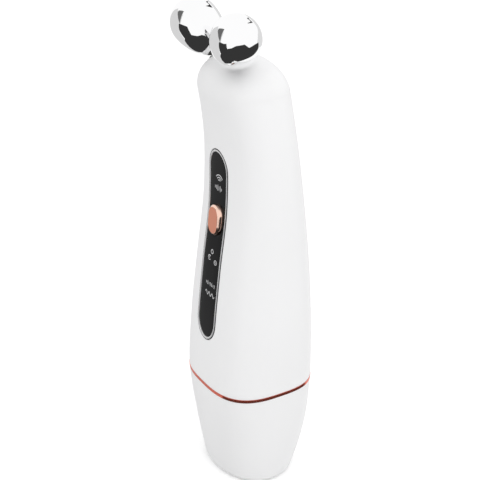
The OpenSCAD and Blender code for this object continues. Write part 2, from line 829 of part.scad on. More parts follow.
// ---- Leads, each a pair of wires between two pieces ----
cell_top = cell_z + cell_len + cell_tip;
board_edge = board_w / 2 + 0.55;
board_mid = board_depth + board_t / 2;
lead_gap = 0.2;
board_head_z = button_z + board_up * cos(panel_tilt) - board_depth * sin(panel_tilt);
board_foot_z = button_z - board_down * cos(panel_tilt) - board_depth * sin(panel_tilt);
side_x = plate_half + 1.4;
// Y of a wire that lies on the front of the board at height z
function on_board(z) = plane_y(board_depth - wire_d / 2 - lead_gap, z);
module electrode_leads() {
    // Halfway between the casing's inner front and the motor's cradle
    slot_y = -(neck_front - wall + cradle_half) / 2;
    top = axle_point(insert_s) + [0.97, -0.58, -1.74];
    run = [top, [top[0] - 0.3, pocket_y - 1, top[2] - 3.7],
        [top[0] - 0.7, pocket_y - 1.2, shoulder_z], [2, slot_y, motor_z + 6],
        [2, slot_y, motor_z - 1], [2.2, slot_y, motor_z - 8],
        [2.3, slot_y + 1.4, board_head_z + 2.7],
        [2.4, on_board(board_head_z) - 1.2, board_head_z - 0.2],
        [2.4, on_board(board_head_z - 2), board_head_z - 2]];
    color("firebrick") {
        wire(run);
        wire(mirror_x(run));
    }
}

module motor_leads() {
    can_end = motor_x - motor_len / 2 - 0.5;
    foot_y = plane_y(board_mid, board_head_z);
    run = [[can_end, -1.5, motor_z], [can_end - 1.2, -2.2, motor_z - 1],
        [can_end - 1.3, -3.2, motor_z - 7], [can_end + 0.5, -3.6, board_head_z + 2.9],
        [1 - board_w / 2, foot_y - 0.1, board_head_z + 1.3],
        [1.2 - board_w / 2, foot_y, board_head_z + 0.7]];
    color("crimson") {
        wire(run);
        wire([for (q = run) q + (q[2] < board_head_z + 4 ? [1.6, 0, 0.5] : [0, 2.4, 0])]);
    }
}

module battery_leads() {
    high_z = cell_top + 4;
    high_y = plane_y(board_mid, high_z);
    low_z = board_foot_z + 4.6;
    low_y = plane_y(board_mid, low_z);
    color("crimson") {
        wire([[0, cell_back, cell_top + 0.5], [4, cell_back - 0.6, cell_top + 1.6],
            [8, cell_back - 2.2, cell_top + 3], [side_x - 0.4, high_y + 6, high_z],
            [side_x - 0.4, high_y + 1.6, high_z], [board_edge, high_y, high_z]]);
        wire([[0, cell_back, cell_z - 0.5], [-4, cell_back - 0.2, cell_z - 1.8],
            [-8.5, cell_back - 2.2, cell_z - 1], [-side_x, low_y + 7.5, cell_z + 4],
            [-side_x, low_y + 3, cell_z + 12], [-side_x + 0.8, low_y + 0.6, low_z - 2],
            [-board_edge, low_y, low_z]]);
    }
}

module charge_leads() {
    run = [[1.6, board_boss_y - 0.5, charge_board_top + 0.5],
        [1.6, board_boss_y - 3, port_z + 5], [1.6, -5, (port_z + flange_z) / 2 + 4],
        [1.6, leads_gap_y, flange_z + 0.5], [2.4, leads_gap_y - 0.5, flange_z + 11.5],
        [3, leads_gap_y + 0.5, board_foot_z - 2.5],
        [3.2, on_board(board_foot_z + 1.6), board_foot_z + 1.6]];
    color("crimson") {
        wire(run);
        wire(mirror_x(run));
    }
}

// ---- Rollers and their axles ----
module insert(side) {
    color("goldenrod") difference() {
        on_axle_bar(side, insert_d, insert_d, neck_s, insert_s);
        on_axle_bar(side, axle_d, axle_d, neck_s - 1, insert_s + 1);
    }
}
module axle(side) {
    color("silver") on_axle_bar(side, axle_d, axle_d, clip_s - 1.2, insert_s);
}
module clip(side) {
    color("dimgray") difference() {
        on_axle_bar(side, bush_d - 0.5, bush_d - 0.5, clip_s, clip_s + clip_t);
        on_axle_bar(side, axle_d, axle_d, clip_s - 1, clip_s + 1);
    }
}
module washer(side) {
    color("ivory") difference() {
        on_axle_bar(side, neck_tip_d - 0.3, neck_tip_d - 0.3, washer_s, neck_s);
        on_axle_bar(side, axle_d + 0.1, axle_d + 0.1, washer_s - 1, neck_s + 1);
    }
}
module bush(side) {
    color("peru") difference() {
        on_axle_bar(side, bush_d, bush_d, bush_s0, bush_s0 + bush_len);
        on_axle_bar(side, axle_d + 2 * bush_play, axle_d + 2 * bush_play,
            bush_s0 - 1, bush_s0 + bush_len + 1);
    }
}
module core(side) {
    color("lightgray") difference() {
        union() {
            on_axle_bar(side, core_d, core_d, core_end_s, mouth_s);
            on_axle_bar(side, core_d, nose_d, mouth_s - tiny, nose_s);
        }
        on_axle_bar(side, bush_d, bush_d, cavity_end_s, nose_s + 1);
    }
}
// Half profile of a roller of radius r: a half circle outwards, and towards the neck half
// an ellipse that would reach to len, cut where its radius falls to stop
function roller_profile(r, len, stop) =
    let (most = acos(stop / r), n = 14)
    concat(
        [[0, -flank_s(r, len, stop)]],
        [for (i = [n:-1:1]) [r * cos(most * i / n), -len * sin(most * i / n)]],
        [for (i = [0:n - 1]) [r * cos(90 * i / n), r * sin(90 * i / n)]],
        [[0, r]]);
module roller(side) {
    color("gainsboro") on_axle(side) difference() {
        rotate_extrude() polygon(roller_profile(roller_r, roller_len, core_d / 2));
        rotate_extrude() polygon(roller_profile(roller_r - roller_wall,
            roller_len - roller_wall, core_d / 2));
        translate([0, 0, -roller_len]) cylinder(d = core_d, h = roller_len);
    }
}
module left_insert() { insert(-1); }
module left_axle() { axle(-1); }
module left_clip() { clip(-1); }
module left_washer() { washer(-1); }
module left_bush() { bush(-1); }
module left_core() { core(-1); }
module left_roller() { roller(-1); }
module right_insert() { insert(1); }
module right_axle() { axle(1); }
module right_clip() { clip(1); }
module right_washer() { washer(1); }
module right_bush() { bush(1); }
module right_core() { core(1); }
module right_roller() { roller(1); }

casing();
base_cup();
trim_ring();
lip_seal();
foot_pad();
foot_screws();
panel();
panel_tape();
panel_bezel();
mode_button();
push_switch();
switch_plunger();
light_guides();
indicator_lights();
circuit_board();
board_screws();
chassis();
battery_cell();
battery_leads();
charge_board();
charge_board_screws();
charge_socket();
socket_tongue();
charge_leads();
vibration_motor();
motor_boot();
motor_clamp();
motor_shaft();
eccentric_weight();
motor_leads();
electrode_leads();
left_insert();
left_axle();
left_clip();
left_washer();
left_bush();
left_core();
left_roller();
right_insert();
right_axle();
right_clip();
right_washer();
right_bush();
right_core();
right_roller();
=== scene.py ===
import json
import math

import bmesh
import bpy
import numpy as np
from mathutils import Matrix, Vector


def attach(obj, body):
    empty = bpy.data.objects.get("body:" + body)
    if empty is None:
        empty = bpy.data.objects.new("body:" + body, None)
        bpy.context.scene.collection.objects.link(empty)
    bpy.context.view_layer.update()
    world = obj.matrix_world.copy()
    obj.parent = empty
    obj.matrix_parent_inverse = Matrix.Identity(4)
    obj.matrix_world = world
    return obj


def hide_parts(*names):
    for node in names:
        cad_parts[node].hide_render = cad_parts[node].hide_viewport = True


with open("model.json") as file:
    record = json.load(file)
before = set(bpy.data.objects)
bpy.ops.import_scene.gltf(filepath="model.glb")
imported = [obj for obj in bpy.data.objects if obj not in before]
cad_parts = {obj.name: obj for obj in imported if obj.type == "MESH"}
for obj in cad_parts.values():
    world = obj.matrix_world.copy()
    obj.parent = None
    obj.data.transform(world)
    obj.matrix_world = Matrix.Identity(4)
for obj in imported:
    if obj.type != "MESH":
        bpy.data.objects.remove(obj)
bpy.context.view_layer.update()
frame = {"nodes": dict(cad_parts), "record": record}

MM = 0.001

# ---- Camera ----
# A long lens that looks down on the device from its front right, with the roller
# head near the top of the picture and the foot at its lower edge.
view_azimuth, view_elevation = math.radians(59.45), math.radians(25.53)
view_target = Vector((0, -3.9, 97.44)) * MM
view_distance = 399.35 * MM
focal_length, film_width = 81.108, 36
view_back = Vector((math.sin(view_azimuth) * math.cos(view_elevation),
                    -math.cos(view_azimuth) * math.cos(view_elevation),
                    math.sin(view_elevation)))
view_right = Vector((math.cos(view_azimuth), math.sin(view_azimuth), 0))
view_up = view_back.cross(view_right)

camera = bpy.data.objects.new("camera", bpy.data.cameras.new("camera"))
camera.data.lens = focal_length
camera.data.sensor_width = film_width
camera.data.clip_start = 0.01
camera.data.clip_end = 20
axes = Matrix((view_right, view_up, view_back)).transposed().to_4x4()
camera.matrix_world = Matrix.Translation(view_target + view_back * view_distance) @ axes
bpy.context.scene.collection.objects.link(camera)
bpy.context.scene.camera = camera

# ---- Casing ----
# One white shell of satin ABS from the trim ring up to the crown, moulded in one with
# the two short necks that hold the roller axles. A slot in its front takes the panel.
squareness, foot_squareness, hem_z = 2.9, 2.1, 41.0
# Front, back and half width of the section at each station's height.
stations = np.array([0, 20, 41, 65, 90, 115, 140, 155.0])
fronts = -np.array([15.8, 18.7, 20.6, 19, 16.4, 13.3, 13.7, 16.5])
backs = np.array([15.2, 20.3, 21.3, 20.7, 19.5, 16.7, 13.5, 11.6])
halves = np.array([20, 22, 22.8, 23, 21.3, 20, 18.2, 16.3])
shoulder_z, crown_z, crown_lean = 155.0, 168.6, 0.72
wall = 2.4
# Points round a section.
around = 240


def slopes(values):
    """Slope at each station: that of the parabola through it and its two neighbours."""
    gap = np.diff(stations)
    rise = np.diff(values) / gap
    inner = (gap[1:] * rise[:-1] + gap[:-1] * rise[1:]) / (gap[1:] + gap[:-1])
    return np.concatenate([[2 * rise[0] - inner[0]], inner, [2 * rise[-1] - inner[-1]]])


def outline(values, z):
    """Cubic through the stations' values, with those slopes, at the heights z."""
    i = np.clip(np.searchsorted(stations, z, side="right") - 1, 0, len(stations) - 2)
    h = stations[i + 1] - stations[i]
    t = (z - stations[i]) / h
    m = slopes(values)
    return ((1 + 2 * t) * (1 - t) ** 2 * values[i] + t * (1 - t) ** 2 * h * m[i]
            + t * t * (3 - 2 * t) * values[i + 1] + t * t * (t - 1) * h * m[i + 1])


def crown_share(z, inset=0.0):
    """1 up to the shoulder, then a quarter ellipse that falls to 0 at the crown."""
    rise = np.clip((z - shoulder_z) / (crown_z - inset - shoulder_z), 0, 1)
    return np.sqrt(1 - rise ** 2)


def middle(z):
    """Y of the section's centre, which goes on leaning in the crown."""
    low = np.minimum(z, shoulder_z)
    lean = crown_lean * (slopes(fronts)[-1] + slopes(backs)[-1]) / 2
    return (outline(fronts, low) + outline(backs, low)) / 2 + lean * (z - low)


def half_depth(z, inset=0.0):
    """Half the section's depth at height z, set in by inset."""
    low = np.minimum(z, shoulder_z)
    return ((outline(backs, low) - outline(fronts, low)) / 2 - inset) * crown_share(z, inset)


def half_width(z, inset=0.0):
    """Half the section's width at height z, set in by inset."""
    return (outline(halves, np.minimum(z, shoulder_z)) - inset) * crown_share(z, inset)


def power(z):
    """Squareness at height z: it rises from the foot to the hem and stays the same above."""
    return squareness - (squareness - foot_squareness) * (1 - np.clip(z / hem_z, 0, 1))


def face_y(x, z, side=-1, inset=0.0):
    """Y of the front (side -1) or back (side 1) of the squared ellipse at (x, z)."""
    share = np.clip(1 - np.abs(x / half_width(z, inset)) ** power(z), 0, 1)
    return middle(z) + side * half_depth(z, inset) * share ** (1 / power(z))


def squared(t, n):
    """Signed power that turns a circle's cosine or sine into those of a squared ellipse."""
    return np.sign(t) * np.abs(t) ** (2 / n)


# Turns that put the points evenly round a section of the full squareness.
fine = np.linspace(0, 2 * np.pi, 40001)
steps = np.hypot(np.diff(squared(np.cos(fine), squareness)),
                 np.diff(squared(np.sin(fine), squareness)))
length = np.concatenate([[0], np.cumsum(steps)])
even_turn = np.interp(np.arange(around) / around * length[-1], length, fine)


def rings(z, inset=0.0, lift=0.0, start=1):
    """Closed sections at the heights z, with evenly spaced points, moved up by lift. start
    is the side, 1 back or -1 front, of the first point: the opposite one lies mid-row."""
    z = np.atleast_1d(np.asarray(z, float))[:, None]
    t = np.roll(even_turn, -around // 4 if start == 1 else around // 4)[None, :]
    x = half_width(z, inset) * squared(np.cos(t), power(z))
    y = middle(z) + half_depth(z, inset) * squared(np.sin(t), power(z))
    return np.stack([x, y, z + lift + 0 * x], axis=-1)


def lid(loop):
    """Closes a loop of an even number of points: chords join its first half to its last."""
    half = len(loop) // 2
    return np.stack([loop[:half], loop[:half - 1:-1]])


def racetrack(across, up, radius_x, radius_z, counts):
    """Rounded rectangle as (x, z) points, counterclockwise from its lower left corner:
    elliptic quarters about the four corner centres, spaced evenly along each side."""
    per_corner = 61
    quarter = np.radians(np.linspace(0, 90, per_corner))
    parts = []
    for corner, (sx, sz) in enumerate([(-1, -1), (1, -1), (1, 1), (-1, 1), (-1, -1)]):
        angle = np.pi + quarter + corner * np.pi / 2
        parts.append(np.stack([sx * across + radius_x * np.cos(angle),
                               sz * up + radius_z * np.sin(angle)], axis=1))
    line = np.concatenate(parts)[per_corner // 2:-(per_corner // 2)]
    run = np.concatenate([[0], np.cumsum(np.hypot(*np.diff(line, axis=0).T))])
    marks = run[::per_corner]
    at = np.concatenate([np.linspace(start, stop, count, endpoint=False)
                         for start, stop, count in zip(marks, marks[1:], counts)])
    return np.stack([np.interp(at, run, line[:, k]) for k in (0, 1)], axis=1)


def weld(name, patches, material, body, stands_for=(), sharp=40):
    """Joins grids of points, (rows, columns, 3) in millimetres, into one smooth mesh:
    a True after a grid closes its rows, and a second True closes its columns too. Points
    within a thousandth of a millimetre become one."""
    corners, faces, base = [], [], 0
    for grid, *closed in patches:
        rows, columns = grid.shape[:2]
        wrap_row = bool(closed and closed[0])
        wrap_column = len(closed) > 1 and closed[1]
        r = np.arange(rows if wrap_column else rows - 1)[:, None]
        c = np.arange(columns if wrap_row else columns - 1)[None, :]
        r1, c1 = (r + 1) % rows, (c + 1) % columns
        quad = [r * columns + c, r * columns + c1, r1 * columns + c1, r1 * columns + c]
        faces.append(base + np.stack([q.ravel() for q in quad], axis=1))
        corners.append(grid.reshape(-1, 3))
        base += rows * columns
    mesh = bpy.data.meshes.new(name)
    mesh.from_pydata(np.concatenate(corners) * MM, [], np.concatenate(faces))
    work = bmesh.new()
    work.from_mesh(mesh)
    bmesh.ops.remove_doubles(work, verts=work.verts, dist=1e-6)
    bmesh.ops.dissolve_degenerate(work, edges=work.edges, dist=1e-7)
    bmesh.ops.recalc_face_normals(work, faces=work.faces)
    work.to_mesh(mesh)
    work.free()
    mesh.shade_smooth()
    mesh.set_sharp_from_angle(angle=math.radians(sharp))
    piece = bpy.data.objects.new(name, mesh)
    bpy.context.scene.collection.objects.link(piece)
    mesh.materials.append(material)
    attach(piece, body)
    if stands_for:
        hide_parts(*stands_for)


class Shade:
    """A value on its way through a material's nodes. +, - and *, with a number on either
    side of it, and > add the Math nodes that work the expression out."""

    def __init__(self, tree, socket=None):
        self.tree, self.socket = tree, socket

    def node(self, kind, settings, sockets, output=0):
        """Adds a node of a kind, sets its settings, then its sockets, and returns one
        of its outputs. A socket is set to a value or joined to a Shade."""
        made = self.tree.nodes.new("ShaderNode" + kind)
        for key, value in settings.items():
            setattr(made, key, value)
        for key, value in sockets.items():
            if isinstance(value, Shade):
                self.tree.links.new(value.socket, made.inputs[key])
            else:
                made.inputs[key].default_value = value
        return Shade(self.tree, made.outputs[output])

    def maths(self, operation, first, second):
        """Adds the Math node for an operation on two Shades or numbers."""
        return self.node("Math", {"operation": operation}, {0: first, 1: second})

    def __add__(self, other):
        return self.maths("ADD", self, other)

    def __radd__(self, other):
        return self.maths("ADD", other, self)

    def __sub__(self, other):
        return self.maths("SUBTRACT", self, other)

    def __rsub__(self, other):
        return self.maths("SUBTRACT", other, self)

    def __mul__(self, other):
        return self.maths("MULTIPLY", self, other)

    def __rmul__(self, other):
        return self.maths("MULTIPLY", other, self)

    def __gt__(self, other):
        return self.maths("GREATER_THAN", self, other)


def finish_of(name, look, **sockets):
    """New material: look(shade) returns the values that vary over its surface, as a
    dictionary of shader sockets, and sockets are those that are the same all over:
    specular_ior_level, say, is the socket Specular IOR Level."""
    material = bpy.data.materials.new(name)
    material.use_nodes = True
    tree = material.node_tree
    shader = tree.nodes["Principled BSDF"]
    for key, value in sockets.items():
        shader.inputs[key.replace("_", " ").title().replace("Ior", "IOR")].default_value = value
    for key, value in look(Shade(tree)).items():
        tree.links.new(value.socket, shader.inputs[key])
    return material


def place_of(shade):
    """The point on the piece, in metres."""
    return shade.node("TexCoord", {}, {}, "Object")


def noise(shade, per_metre, detail=2.0, at=None):
    """Cloudy noise from 0 to 1 with per_metre cells a metre."""
    return shade.node("TexNoise", {}, {"Vector": at or place_of(shade), "Scale": per_metre,
                                       "Detail": detail})


def blend_colour(shade, share, low, high):
    """Colour from low to high as share goes from 0 to 1."""
    return shade.node("Mix", {"data_type": "RGBA"},
                      {"Factor": share, 6: (*low, 1), 7: (*high, 1)}, 2)


def bump(shade, height, depth):
    """Normal of a surface raised by height, from 0 to 1, times depth in metres."""
    return shade.node("Bump", {}, {"Height": height, "Distance": depth, "Strength": 1.0})


def moulded(name, colour, rough, grain=0.4, spread=0.02):
    """Moulded plastic or rubber: a fine sparked grain, with cells of grain millimetres,
    and slow changes of shade and gloss from flow in the mould."""
    def look(shade):
        cloud = noise(shade, 45)
        fine_grain = noise(shade, 1000 / grain, 3)
        low = [c * (1 - spread) for c in colour]
        high = [min(1, c * (1 + spread)) for c in colour]
        return {"Base Color": blend_colour(shade, cloud, low, high),
                "Roughness": rough - 0.05 + fine_grain * 0.06 + cloud * 0.04,
                "Normal": bump(shade, fine_grain, 4e-6)}
    return finish_of(name, look)


panel_z, panel_straight, panel_end = 97.5, 29.5, 6.8
panel_half = 5.5
slot_edge = 1.2
pocket_depth = 1.65


def slot_line(off, counts):
    """(x, z) points of the panel's outline, set out by off."""
    line = racetrack(0, panel_straight, panel_half + off, panel_end + off, counts)
    return line + [0, panel_z]


def on_face(line, depth=0.0, side=-1, inset=0.0):
    """Puts (x, z) points on the casing's surface, sunk by depth."""
    y = face_y(line[:, 0], line[:, 1], side, inset) - side * depth
    return np.stack([line[:, 0], y, line[:, 1]], axis=1)


def with_window(grid, low_row, high_row, reach, side, inset, line_of, ring_count):
    """Opens a window in a grid of rings, mid-row: cuts a block of cells, reach columns
    either side, and spreads rings from its edge to the window's outline, a little closer
    together towards it. line_of gives the outline for the number of points on each side.
    Returns patches and those numbers."""
    left, right = around // 2 - reach, around // 2 + reach
    rest = np.arange(right, left + around + 1) % around
    counts = (right - left, high_row - low_row) * 2
    edge = np.concatenate([grid[low_row, left:right], grid[low_row:high_row, right],
                           grid[high_row, right:left:-1], grid[high_row:low_row:-1, left]])
    target = line_of(counts)
    if side == 1:
        target = target * [-1, 1]
    share = np.linspace(0, 1, ring_count) ** 0.8
    spread = [on_face(edge[:, [0, 2]] * (1 - s) + target * s, 0, side, inset)
              for s in share[1:]]
    patches = [(grid[:low_row + 1], True), (grid[high_row:], True),
               (grid[low_row:high_row + 1][:, rest],), (np.stack([edge] + spread), True)]
    return patches, counts


def row_at(heights, z):
    """Number of the row whose height is nearest to z."""
    return int(np.argmin(abs(heights - z)))


# The crown and the necks are one surface around the point where the axles meet: rays from
# it stop where the crown and two tapered bars, melted together, end.
axle_spread, head_lean = math.radians(39.5), math.radians(29.4)
ball_centre = np.array([13.9, -13.7, 177.2])
axle_way = np.array([math.sin(axle_spread), -math.cos(axle_spread) * math.sin(head_lean),
                     math.cos(axle_spread) * math.cos(head_lean)])
meet_run = ball_centre[0] / axle_way[0]
meet = ball_centre - axle_way * meet_run
neck_start, neck_radius, neck_slope = 12.92, 3.0, 0.0845
neck_melt, crown_melt, crown_scale = 1.6, 3.2, 12
tip_round, bore_radius, bore_end, bore_centre = 0.35, 2.2, 18.9, 0.4
ray_length, ray_halvings = 32.0, 36
# Steps of a small quarter round.
bend = np.radians([30, 60, 90])


def melt(a, b, reach):
    """Smooth least of two distances: they blend where they differ by less than reach."""
    h = np.clip(0.5 + 0.5 * (b - a) / reach, 0, 1)
    return b * (1 - h) + a * h - reach * h * (1 - h)


def head_distance(points):
    """Rough distance outside the head, in millimetres: that outside the crown's squared
    ellipsoid and that outside a tapered bar round each axle, melted together."""
    x, y, z = points[..., 0], points[..., 1], points[..., 2]
    low = np.minimum(z, shoulder_z)
    across = np.abs(x / outline(halves, low)) ** squareness
    along = np.abs((y - middle(z)) / half_depth(low)) ** squareness
    over = np.maximum(z - shoulder_z, 0) / (crown_z - shoulder_z)
    crown = (np.sqrt((across + along) ** (2 / squareness) + over ** 2) - 1) * crown_scale
    bars = []
    for side in (-1, 1):
        way = axle_way * [side, 1, 1]
        run = np.minimum((points - ball_centre * [side, 1, 1]) @ -way, meet_run)
        nearest = ball_centre * [side, 1, 1] - run[..., None] * way
        radius = neck_radius + neck_slope * (run - neck_start)
        bars.append(np.linalg.norm(points - nearest, axis=-1) - radius)
    return melt(melt(*bars, neck_melt), crown, crown_melt)


def cast(ways):
    """Where rays from the meeting point leave the head, by halving their span."""
    near = np.zeros(ways.shape[:-1])
    far = np.full(ways.shape[:-1], ray_length)
    for _ in range(ray_halvings):
        mid = (near + far) / 2
        inside = head_distance(meet + ways * mid[..., None]) < 0
        near, far = np.where(inside, mid, near), np.where(inside, far, mid)
    return meet + ways * near[..., None]


# The head's right half is fanned out from its rim, which is half the shoulder and the
# ridge above it, to the tip of the neck. Its left half mirrors it.
ridge_points, head_rows = 151, 90
shoulder = rings(shoulder_z)[0]
right_half = np.concatenate([shoulder[around // 2:], shoulder[:1]])
back_angle = math.atan2(right_half[-1][2] - meet[2], right_half[-1][1] - meet[1])
front_angle = math.atan2(right_half[0][2] - meet[2], right_half[0][1] - meet[1])
sweep = np.linspace(back_angle, front_angle + 2 * np.pi, ridge_points)[1:-1]
ridge = cast(np.stack([0 * sweep, np.cos(sweep), np.sin(sweep)], axis=1))
rim_line = np.concatenate([right_half, ridge])
rim_way = rim_line - meet
rim_way /= np.linalg.norm(rim_way, axis=1)[:, None]
tip_angle = math.atan2(neck_radius, meet_run - neck_start)
side_way = np.cross(axle_way, [0, 0, 1.0])
side_way /= np.linalg.norm(side_way)
other_way = np.cross(axle_way, side_way)
turn = np.arctan2(rim_way @ other_way, rim_way @ side_way)
opening = np.arccos(rim_way @ axle_way)
share = np.linspace(0, 1, head_rows)[:, None]
cot = (1 - share) / np.tan(opening)[None, :] + share / math.tan(tip_angle)
angle = np.arctan2(1, cot)[..., None]
circle = (np.cos(turn)[:, None] * side_way + np.sin(turn)[:, None] * other_way)[None]
head = cast(np.cos(angle) * axle_way + np.sin(angle) * circle)
head[0] = rim_line
tip_line = [(neck_radius, neck_start + tip_round)]
tip_line += [(neck_radius - tip_round * (1 - math.cos(a)),
              neck_start + tip_round * (1 - math.sin(a))) for a in bend]
tip_line += [(bore_radius, neck_start), (bore_radius, bore_end), (bore_centre, bore_end)]
tip = [ball_centre - axle_way * run + radius * circle[0] for radius, run in tip_line]
way_out = ((head - meet) @ axle_way).mean(axis=1)
keep = int(np.argmax(way_out > meet_run - neck_start - tip_round))
right_head = np.concatenate([head[:keep], np.stack(tip)])
left_head = right_head * [-1, 1, 1]

casing_low, rim_z, rim_rebate, edge_round = 41.6, 46.5, 1.15, 0.25
button_z, panel_tilt = 108.0, math.radians(5)
hole_half, hole_straight = 3.95, 1.9
slot_round = 0.15
window_low, window_high, window_reach = 55, 140, 14


def hole_line(counts, depth, off=0.0):
    """(x, z) points of the button's hole at a depth, set out by off: the hole leans down
    as it goes in."""
    radius = hole_half + off
    return (racetrack(0, hole_straight, radius, radius, counts)
            + [0, button_z - depth * math.sin(panel_tilt)])


def rounded_edge(z, way, start=1):
    """Rings of a quarter round, from the outer face in to the edge at height z. way is 1
    where the wall lies above the edge and -1 where it lies below."""
    return [rings(z + way * edge_round * (1 - math.sin(a)), edge_round * (1 - math.cos(a)),
                  0, start)[0] for a in bend]


heights = np.linspace(casing_low + edge_round, shoulder_z, 96)
skin = rings(heights)
low_row, high_row = row_at(heights, window_low), row_at(heights, window_high)
casing_patches, counts = with_window(skin, low_row, high_row, window_reach, -1, 0,
                                     lambda n: slot_line(slot_edge + slot_round, n), 12)
pocket = [on_face(slot_line(slot_edge + off, counts), depth) for off, depth in
          [(slot_round, 0), (0.06, 0.03), (0.01, 0.1), (0, 0.2), (0, pocket_depth)]]
hole = hole_line(counts, pocket_depth)
pocket += [on_face(slot_line(slot_edge, counts) * (1 - s) + hole * s, pocket_depth)
           for s in np.linspace(0, 1, 12)[1:]]
pocket.append(on_face(hole_line(counts, wall), 0, -1, wall))
inner_heights = np.concatenate([np.linspace(rim_z, shoulder_z, 90), [157, 159, 161]])
inner = rings(inner_heights, wall)
low_row = row_at(inner_heights, window_low)
inner_patches, _ = with_window(inner, low_row, low_row + counts[1], window_reach, -1, wall,
                               lambda n: hole_line(n, wall), 8)
rim = [inner[0], rings(rim_z, rim_rebate)[0], rings(casing_low, rim_rebate)[0]]
rim += rounded_edge(casing_low, 1)[::-1] + [skin[0]]
satin_white = moulded("satin_white", (0.83, 0.83, 0.835), 0.42, grain=0.35, spread=0.006)
weld("casing_shell", casing_patches + inner_patches + [
    (np.stack(pocket), True), (np.stack(rim), True), (lid(inner[-1]),),
    (right_head, True), (left_head, True), (lid(right_head[-1]),), (lid(left_head[-1]),)],
    satin_white, "housing", ["casing"])

# ---- Base cup ----
# The white lower moulding: a deep cup with a rounded foot, a recess under it for the
# foot pad, a lip that reaches up into the casing, and the charging inlet at its back.
cup_low, cup_top, lip_top, floor_top = 0.4, 40.4, 46.0, 3.8
foot_round, foot_round_h, pad_margin, pad_recess = 1.6, 1.4, 0.8, 1.2
pad_edge, lip_inset, lip_round, foot_step = 0.15, 1.3, 0.3, 0.8
port_z, port_w, port_h = 13.0, 9.8, 4.1
port_round, port_depth, port_window, port_reach = 0.3, 1.8, 4.5, 12


def port_line(counts, off=0.0):
    """(x, z) points of the inlet's outline, set out by off."""
    radius = port_h / 2 + off
    line = racetrack((port_w - port_h) / 2, 0, radius, radius, counts)
    return line + [0, port_z]


foot_turn = np.radians(np.linspace(0, 90, 19))
foot_z = cup_low + foot_round_h * (1 - np.cos(foot_turn))
foot_inset = foot_round * (1 - np.sin(foot_turn))
recess = foot_round + pad_margin
foot = [rings(0, recess, pad_recess, -1)[0], rings(0, recess, cup_low + pad_edge, -1)[0],
        rings(0, recess - pad_edge, cup_low, -1)[0]]
foot += [rings(z, i, 0, -1)[0] for z, i in zip(foot_z, foot_inset)]
cup_heights = np.concatenate([[foot_z[-1]],
                              np.linspace(foot_z[-1] + foot_step, cup_top - edge_round, 46)])
cup_skin = rings(cup_heights, start=-1)
port_rows = [row_at(cup_heights, port_z - port_window), row_at(cup_heights, port_z + port_window)]
outer_patches, port_counts = with_window(cup_skin, *port_rows, port_reach, 1, 0,
                                         lambda n: port_line(n, port_round), 9)
cup_inner_heights = np.concatenate([np.linspace(floor_top, cup_top, 44), [lip_top]])
cup_inner = rings(cup_inner_heights, wall, start=-1)
low_row = row_at(cup_inner_heights, port_z - port_window)
inner_patches, _ = with_window(cup_inner, low_row, low_row + port_counts[1], port_reach, 1, wall,
                               port_line, 9)
mouth = [on_face(port_line(port_counts, off) * [-1, 1], depth, 1) for off, depth in
         [(port_round, 0), (0.13, 0.06), (0.03, 0.17), (0, 0.32), (0, port_depth)]]
mouth.append(on_face(port_line(port_counts) * [-1, 1], 0, 1, wall))
lip = [cup_skin[-1]] + rounded_edge(cup_top, -1, -1)
lip += [rings(z, inset, 0, -1)[0] for z, inset in
        [(cup_top, lip_inset), (lip_top - lip_round, lip_inset), (lip_top, lip_inset + lip_round)]]
lip.append(cup_inner[-1])
weld("base_cup_shell", outer_patches + inner_patches + [
    (np.stack(foot), True), (lid(foot[0]),), (np.stack(mouth), True),
    (np.stack(lip), True), (lid(cup_inner[0]),)],
    satin_white, "housing", ["base_cup"])

# ---- Trim ring ----
# A copper plated aluminium ring with a flat polished band and chamfered edges, clamped
# between the casing and the cup.
ring_proud, ring_chamfer, ring_inner = 0.1, 0.03, 1.25
ring_rows = [rings(z, -out)[0] for z, out in [
    (cup_top, 0), (cup_top + ring_chamfer, ring_proud),
    (casing_low - ring_chamfer, ring_proud), (casing_low, 0)]]
ring_rows += [rings(casing_low, ring_inner)[0], rings(cup_top, ring_inner)[0]]


def plated(name, colour, rough, wear=0.05, metallic=1.0):
    """Plated metal: even colour with faint cloudiness, and hairlines a fifth of a
    millimetre apart that scatter its gloss."""
    def look(shade):
        cloud = noise(shade, 60)
        stretched = shade.node("Mapping", {}, {"Vector": place_of(shade),
                                               "Scale": (1, 1, 14)})
        hair = noise(shade, 1200, 2, stretched)
        low = [c * (1 - wear) for c in colour]
        return {"Base Color": blend_colour(shade, cloud, low, colour),
                "Roughness": rough + cloud * rough * 0.4 + hair * rough * 0.5,
                "Normal": bump(shade, hair, 4e-7)}
    return finish_of(name, look, metallic=metallic)


polished_copper = plated("polished_copper", (0.80, 0.19, 0.13), 0.1, metallic=0.88)
weld("copper_trim_ring", [(np.stack(ring_rows), True, True)], polished_copper,
     "housing", ["trim_ring"], sharp=30)

# ---- Panel ----
# A black glossy lens of polycarbonate in the casing's slot. Its marks are printed in pale
# ink: arcs, bars, a ring, small figures and rules, generic ones.
lens_depth, lens_back, lens_edge, hole_edge_off = 0.15, 1.35, 0.12, 0.08
ink_sunk, ink_proud = 0.01, 0.015
lens_counts = (36, 120, 36, 120)
outside = slot_line(-lens_edge, lens_counts)
hole_edge = hole_line(lens_counts, lens_depth, hole_edge_off)
lens_rows = [on_face(slot_line(0, lens_counts), lens_back),
             on_face(slot_line(0, lens_counts), lens_depth + lens_edge),
             on_face(slot_line(-0.3 * lens_edge, lens_counts), lens_depth + 0.3 * lens_edge)]
lens_rows += [on_face(outside * (1 - s) + hole_edge * s, lens_depth)
              for s in np.linspace(0, 1, 44)]
lens_rows += [on_face(hole_line(lens_counts, depth), depth)
              for depth in (lens_depth + hole_edge_off, lens_back)]


